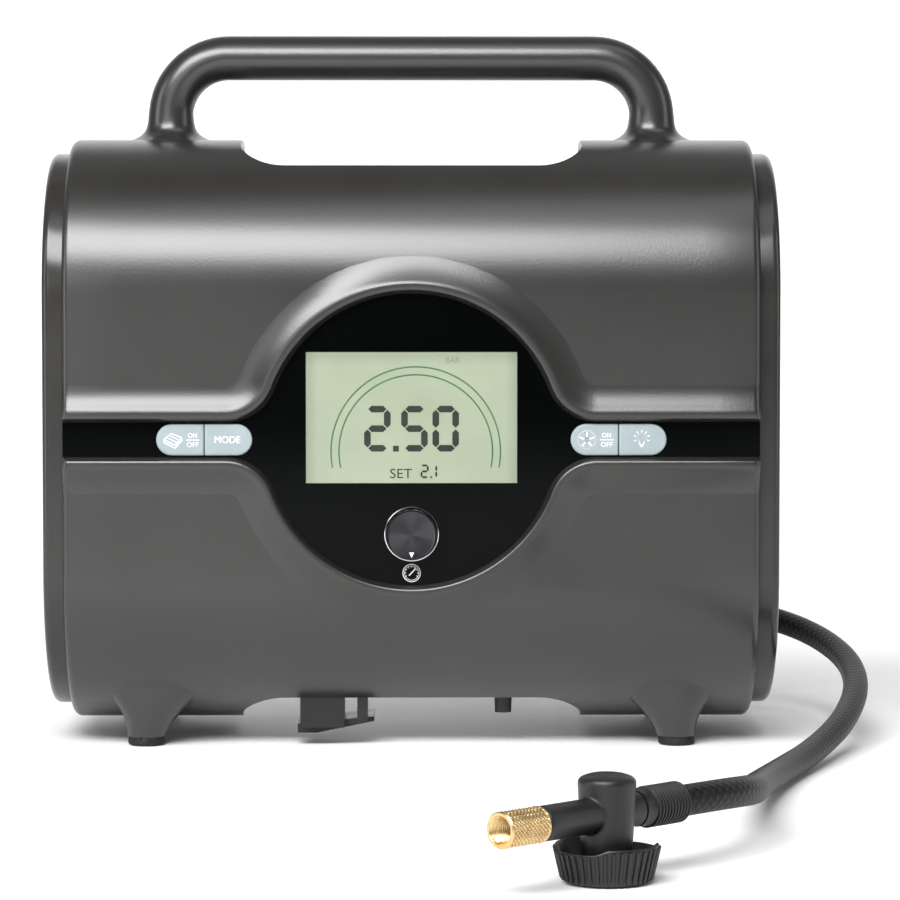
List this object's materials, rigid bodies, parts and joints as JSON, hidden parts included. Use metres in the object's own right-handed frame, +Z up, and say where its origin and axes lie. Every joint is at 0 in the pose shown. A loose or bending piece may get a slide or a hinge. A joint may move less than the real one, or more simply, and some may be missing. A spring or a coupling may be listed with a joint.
{
  "type": "tyre inflator with gauge",
  "caption": "Portable tyre inflator with a round gauge panel, a tube handle, an air hose with screw-on tyre head, and a blower for air beds.",
  "frame": {"origin": "on the floor, under the middle of the casing", "axes": "+Z up, the gauge faces -Y, +X to the right of somebody reading the gauge"},
  "size_m": [0.3208, 0.4957, 0.2752],
  "materials": {
    "casing_plastic": "fine moulded grain, satin, dark warm grey",
    "cap_plastic": "gloss moulded dark grey",
    "foot_rubber": "matt black rubber",
    "lens_plastic": "polished black sheet",
    "display_glass": "liquid crystal display, pale green grey",
    "display_frame": "white light box",
    "circuit_board": "green lacquered board",
    "button_plastic": "satin light grey",
    "knob_metal": "black anodised, turned face",
    "bright_metal": "bright turned ring",
    "steel": "zinc plated steel",
    "aluminium_cast": "die cast aluminium",
    "inner_plastic": "black moulded plastic",
    "gear_plastic": "natural acetal",
    "seal_rubber": "black rubber",
    "lamp_plastic": "frosted clear polycarbonate",
    "hose_braid": "braided black polyester over rubber",
    "fitting_plastic": "moulded black nylon",
    "brass": "knurled turned brass"
  },
  "bodies": {
    "casing": {"front_shell": "casing_plastic", "recess_liner": "casing_plastic", "left_rear_shell": "casing_plastic", "right_rear_shell": "casing_plastic", "left_end_cap": "cap_plastic", "right_end_cap": "cap_plastic", "handle": "casing_plastic", "foot_pads": "foot_rubber", "shell_screws": "steel", "display_lens": "lens_plastic", "lcd_panel": "display_glass", "lcd_frame": "display_frame", "control_board": "circuit_board", "board_screws": "steel", "tact_switches": "inner_plastic", "knob_trim_ring": "bright_metal", "encoder": "inner_plastic", "compressor_frame": "aluminium_cast", "crank_bush": "brass", "compressor_motor": "steel", "cylinder": "aluminium_cast", "cylinder_head": "aluminium_cast", "air_manifold": "inner_plastic", "pressure_sensor": "inner_plastic", "air_line": "seal_rubber", "blower_motor": "steel", "blower_housing": "inner_plastic", "blower_port": "inner_plastic", "lamp_board": "circuit_board", "lamp_lens": "lamp_plastic", "power_inlet": "inner_plastic", "inlet_pins": "brass", "cable_cleat": "inner_plastic", "nozzle_clip": "inner_plastic", "nozzle_adapter": "inner_plastic", "hose_gland": "seal_rubber", "air_hose": "hose_braid", "hose_collar": "fitting_plastic", "hose_head": "fitting_plastic", "valve_pin": "brass", "nut_seal": "seal_rubber"},
    "setting_knob": {"pressure_knob": "knob_metal", "encoder_shaft": "steel"},
    "mattress_key": {"mattress_button": "button_plastic"},
    "mode_key": {"mode_button": "button_plastic"},
    "tyre_key": {"tyre_button": "button_plastic"},
    "lamp_key": {"lamp_button": "button_plastic"},
    "motor_rotor": {"motor_shaft": "steel", "motor_pinion": "brass", "cooling_fan": "inner_plastic"},
    "crank": {"crank_gear": "gear_plastic", "crank_shaft": "steel"},
    "piston_assembly": {"piston": "aluminium_cast", "piston_seal": "seal_rubber", "piston_pin": "steel", "connecting_rod": "aluminium_cast"},
    "blower_rotor": {"blower_shaft": "steel", "blower_impeller": "inner_plastic"},
    "valve_nut": {"brass_nut": "brass"},
    "thumb_lock": {"thumb_wheel": "fitting_plastic"}
  },
  "joints": [
    {"name": "knob_turn", "type": "hinge", "parent": "casing", "child": "setting_knob", "pos_m": [0, -0.0712, 0.0838], "axis": [0, -1, 0], "continuous": true},
    {"name": "mattress_press", "type": "slide", "parent": "casing", "child": "mattress_key", "axis": [0, 1, 0], "range_m": [0, 0.0008], "stiffness_N_per_m": 1500, "springref_m": -0.0002},
    {"name": "mode_press", "type": "slide", "parent": "casing", "child": "mode_key", "axis": [0, 1, 0], "range_m": [0, 0.0008], "stiffness_N_per_m": 1500, "springref_m": -0.0002},
    {"name": "tyre_press", "type": "slide", "parent": "casing", "child": "tyre_key", "axis": [0, 1, 0], "range_m": [0, 0.0008], "stiffness_N_per_m": 1500, "springref_m": -0.0002},
    {"name": "lamp_press", "type": "slide", "parent": "casing", "child": "lamp_key", "axis": [0, 1, 0], "range_m": [0, 0.0008], "stiffness_N_per_m": 1500, "springref_m": -0.0002},
    {"name": "crank_turn", "type": "hinge", "parent": "casing", "child": "crank", "pos_m": [-0.1, -0.01, 0.105], "axis": [0, 1, 0], "continuous": true},
    {"name": "motor_turn", "type": "hinge", "parent": "casing", "child": "motor_rotor", "pos_m": [-0.1, -0.01, 0.075], "axis": [0, 1, 0], "continuous": true},
    {"name": "piston_stroke", "type": "slide", "parent": "casing", "child": "piston_assembly", "axis": [0, 0, 1], "range_m": [-0.016, 0]},
    {"name": "blower_turn", "type": "hinge", "parent": "casing", "child": "blower_rotor", "pos_m": [0.1, 0.03, 0.112], "axis": [0, 1, 0], "continuous": true},
    {"name": "nut_turn", "type": "hinge", "parent": "casing", "child": "valve_nut", "pos_m": [0.0352, -0.38128, 0.021], "axis": [-0.7, -0.7141, 0], "continuous": true},
    {"name": "thumb_turn", "type": "hinge", "parent": "casing", "child": "thumb_lock", "pos_m": [0.059, -0.357, 0.006], "axis": [0, 0, 1], "range_deg": [0, 90]}
  ],
  "couplings": [
    {"joint": "crank_turn", "follows": "motor_turn", "ratio": -0.2}
  ]
}
